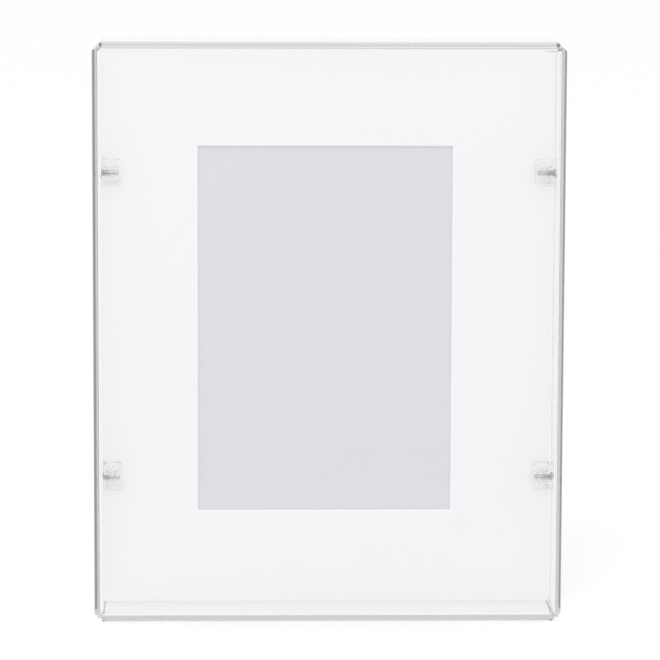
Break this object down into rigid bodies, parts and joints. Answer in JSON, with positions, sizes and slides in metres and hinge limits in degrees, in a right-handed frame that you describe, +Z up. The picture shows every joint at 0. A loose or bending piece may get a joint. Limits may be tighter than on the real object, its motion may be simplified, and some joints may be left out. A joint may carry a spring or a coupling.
{
  "type": "clip frame",
  "caption": "Deep clear acrylic box frame in portrait format, with a matted print held behind it by clear snap clips on short steel pins.",
  "frame": {"origin": "centre of the box that holds the frame, seen from above, at the height of its lowest face", "axes": "+Z up in portrait format, the clear face looks along -Y, +X to the right as the viewer sees it"},
  "size_m": [0.2102, 0.04, 0.261],
  "materials": {
    "clear_acrylic": "clear acrylic, polished",
    "clear_clip_plastic": "clear moulded plastic",
    "mat_board": "matt white mount board",
    "print_paper": "matt grey paper",
    "hardboard": "hardboard, coated white",
    "pin_steel": "turned steel",
    "screw_steel": "zinc plated",
    "hanger_steel": "zinc plated",
    "ring_wire": "zinc plated wire"
  },
  "bodies": {
    "cover": {"front_cover": "clear_acrylic", "pin_lower_left": "pin_steel", "pin_lower_right": "pin_steel", "pin_upper_left": "pin_steel", "pin_upper_right": "pin_steel"},
    "back_pack": {"mat": "mat_board", "print_sheet": "print_paper", "back_panel": "hardboard", "clip_lower_left": "clear_clip_plastic", "clip_lower_right": "clear_clip_plastic", "clip_upper_left": "clear_clip_plastic", "clip_upper_right": "clear_clip_plastic", "clip_screws": "screw_steel", "hanger_rivets": "hanger_steel", "hanger_strap_top": "hanger_steel", "hanger_strap_side": "hanger_steel"},
    "top_ring": {"hanger_ring_top": "ring_wire"},
    "side_ring": {"hanger_ring_side": "ring_wire"}
  },
  "joints": [
    {"name": "back_pull_off", "type": "slide", "parent": "cover", "child": "back_pack", "axis": [0, 1, 0], "range_m": [0, 0.04]},
    {"name": "top_ring_swing", "type": "hinge", "parent": "back_pack", "child": "top_ring", "pos_m": [0, 0.0188, 0.2335], "axis": [1, 0, 0], "range_deg": [0, 175]},
    {"name": "side_ring_swing", "type": "hinge", "parent": "back_pack", "child": "side_ring", "pos_m": [0.0776, 0.0188, 0.1305], "axis": [0, 0, -1], "range_deg": [0, 175]}
  ]
}
